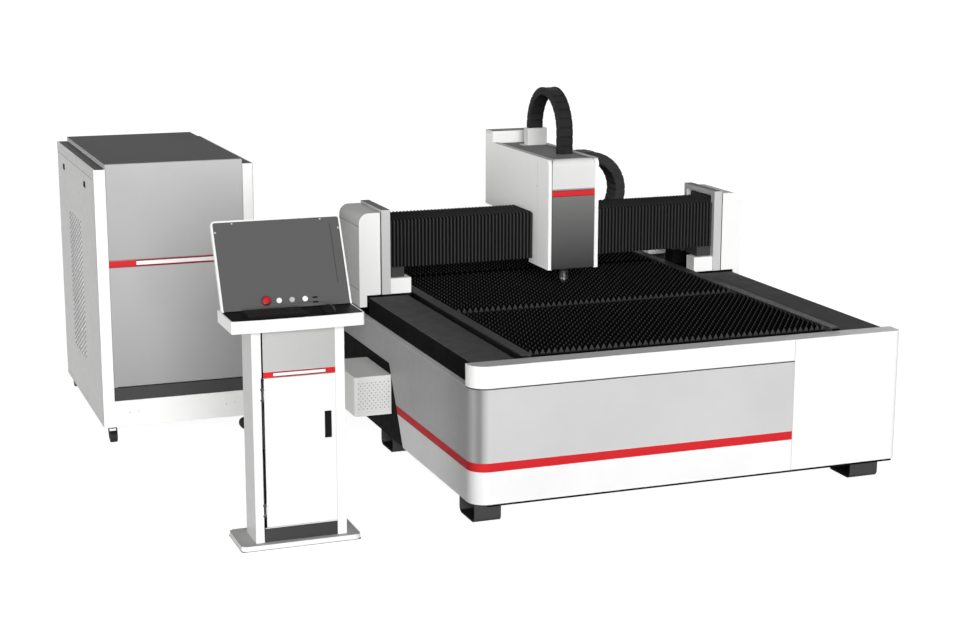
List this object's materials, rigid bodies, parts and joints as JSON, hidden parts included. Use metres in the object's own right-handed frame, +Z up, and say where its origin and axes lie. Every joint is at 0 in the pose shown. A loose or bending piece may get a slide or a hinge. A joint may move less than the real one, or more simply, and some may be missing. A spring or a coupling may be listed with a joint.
{
  "type": "fiber laser cutting machine",
  "caption": "Flat-bed fiber laser cutter: slat table, gantry and cutting head on covered rails with energy chains, an operator console and a laser source cabinet on casters.",
  "frame": {"origin": "centre of the rectangle of anchor holes in the bed's corner feet, at floor level", "axes": "+X to the bed's right, seen by the operator in front of it, +Y along the bed to its rear, +Z up"},
  "size_m": [3.707, 4.118, 1.8465],
  "materials": {
    "white_paint": "satin powder coat",
    "grey_paint": "satin powder coat",
    "red_paint": "satin powder coat",
    "dark_paint": "satin powder coat",
    "foot_paint": "matt paint",
    "frame_paint": "matt black paint",
    "steel": "ground steel",
    "slat_steel": "raw dark steel",
    "aluminium": "anodised",
    "beam_aluminium": "dark anodised",
    "brass": "turned",
    "cover_fabric": "coated",
    "chain_plastic": "moulded",
    "black_plastic": "fine texture",
    "bezel_plastic": "satin",
    "red_plastic": "gloss",
    "white_plastic": "satin",
    "grey_plastic": "satin",
    "wheel_rubber": "moulded",
    "zinc": "zinc plated"
  },
  "bodies": {
    "machine": {"bed_frame": "frame_paint", "feet": "foot_paint", "y_rails": "steel", "table_frame": "dark_paint", "slats": "slat_steel", "scrap_trays": "zinc", "end_caps": "white_paint", "grey_panel": "grey_paint", "red_stripe": "red_paint", "lower_skirt": "white_paint", "front_right_panel": "white_paint", "side_panels": "white_paint", "vent_box": "white_paint", "way_covers": "cover_fabric", "console_stand": "white_paint", "console_desk": "white_paint", "screen_housing": "white_paint", "screen_bezel": "bezel_plastic", "keyboard": "black_plastic", "mouse": "black_plastic", "console_computer": "dark_paint", "cabinet_frame": "white_paint", "cabinet_top": "dark_paint", "cabinet_front": "grey_paint", "cabinet_side_panel": "white_paint", "laser_source": "grey_paint", "rear_caster_brackets": "zinc"},
    "gantry": {"gantry_beam": "beam_aluminium", "end_plates": "grey_paint", "gantry_covers": "white_paint", "slider_blocks": "white_paint", "gantry_saddles": "steel", "x_rails": "steel", "beam_bellows": "cover_fabric", "x_chain": "chain_plastic", "gantry_motors": "black_plastic"},
    "carriage": {"carriage_plate": "aluminium", "head_cover": "white_paint", "head_top": "dark_paint", "head_front": "dark_paint", "z_motor": "black_plastic", "z_chain": "chain_plastic", "chain_bracket": "white_paint"},
    "head": {"z_slide": "aluminium", "cutting_head": "aluminium", "nozzle": "brass"},
    "console_door": {"console_door": "white_paint"},
    "door_handle": {"door_handle": "black_plastic"},
    "emergency_stop": {"emergency_stop": "red_plastic"},
    "left_button": {"left_button": "white_plastic"},
    "middle_button": {"middle_button": "grey_plastic"},
    "right_button": {"right_button": "white_plastic"},
    "side_lock_front": {"side_lock_front": "black_plastic"},
    "side_lock_rear": {"side_lock_rear": "black_plastic"},
    "caster_fork_left": {"caster_fork_left": "zinc"},
    "caster_fork_right": {"caster_fork_right": "zinc"},
    "caster_wheel_left": {"caster_wheel_left": "wheel_rubber"},
    "caster_wheel_right": {"caster_wheel_right": "wheel_rubber"},
    "rear_wheel_left": {"rear_wheel_left": "wheel_rubber"},
    "rear_wheel_right": {"rear_wheel_right": "wheel_rubber"}
  },
  "joints": [
    {"name": "gantry_slide", "type": "slide", "parent": "machine", "child": "gantry", "axis": [0, 1, 0], "range_m": [-1.45, 1.53], "deforming": ["way_covers"]},
    {"name": "carriage_slide", "type": "slide", "parent": "gantry", "child": "carriage", "axis": [1, 0, 0], "range_m": [-0.74, 0.74], "deforming": ["beam_bellows", "x_chain"]},
    {"name": "head_lift", "type": "slide", "parent": "carriage", "child": "head", "axis": [0, 0, 1], "range_m": [-0.008, 0.1], "deforming": ["z_chain"]},
    {"name": "door_hinge", "type": "hinge", "parent": "machine", "child": "console_door", "pos_m": [-2.129, -2, 0.445], "axis": [0, 0, -1], "range_deg": [0, 110]},
    {"name": "door_handle_lift", "type": "hinge", "parent": "console_door", "child": "door_handle", "pos_m": [-1.83, -1.995, 0.609], "axis": [-1, 0, 0], "range_deg": [0, 35]},
    {"name": "stop_push", "type": "slide", "parent": "machine", "child": "emergency_stop", "axis": [0, 0.8957, -0.4446], "range_m": [0, 0.004]},
    {"name": "left_button_push", "type": "slide", "parent": "machine", "child": "left_button", "axis": [0, 0.8957, -0.4446], "range_m": [0, 0.002], "stiffness_N_per_m": 300, "springref_m": -0.003},
    {"name": "middle_button_push", "type": "slide", "parent": "machine", "child": "middle_button", "axis": [0, 0.8957, -0.4446], "range_m": [0, 0.002], "stiffness_N_per_m": 300, "springref_m": -0.003},
    {"name": "right_button_push", "type": "slide", "parent": "machine", "child": "right_button", "axis": [0, 0.8957, -0.4446], "range_m": [0, 0.002], "stiffness_N_per_m": 300, "springref_m": -0.003},
    {"name": "side_lock_front_lift", "type": "hinge", "parent": "machine", "child": "side_lock_front", "pos_m": [-2.535, 0.282, 1.3845], "axis": [0, 1, 0], "range_deg": [0, 50]},
    {"name": "side_lock_rear_lift", "type": "hinge", "parent": "machine", "child": "side_lock_rear", "pos_m": [-2.535, 1.053, 1.3845], "axis": [0, 1, 0], "range_deg": [0, 50]},
    {"name": "left_swivel", "type": "hinge", "parent": "machine", "child": "caster_fork_left", "pos_m": [-2.489, -0.009, 0.089], "axis": [0, 0, 1], "continuous": true},
    {"name": "right_swivel", "type": "hinge", "parent": "machine", "child": "caster_fork_right", "pos_m": [-1.732, -0.009, 0.089], "axis": [0, 0, 1], "continuous": true},
    {"name": "left_wheel_spin", "type": "hinge", "parent": "caster_fork_left", "child": "caster_wheel_left", "pos_m": [-2.489, -0.031, 0.031], "axis": [1, 0, 0], "continuous": true},
    {"name": "right_wheel_spin", "type": "hinge", "parent": "caster_fork_right", "child": "caster_wheel_right", "pos_m": [-1.754, -0.009, 0.031], "axis": [0, 1, 0], "continuous": true},
    {"name": "rear_left_spin", "type": "hinge", "parent": "machine", "child": "rear_wheel_left", "pos_m": [-2.489, 1.271, 0.031], "axis": [1, 0, 0], "continuous": true},
    {"name": "rear_right_spin", "type": "hinge", "parent": "machine", "child": "rear_wheel_right", "pos_m": [-1.732, 1.271, 0.031], "axis": [1, 0, 0], "continuous": true}
  ]
}
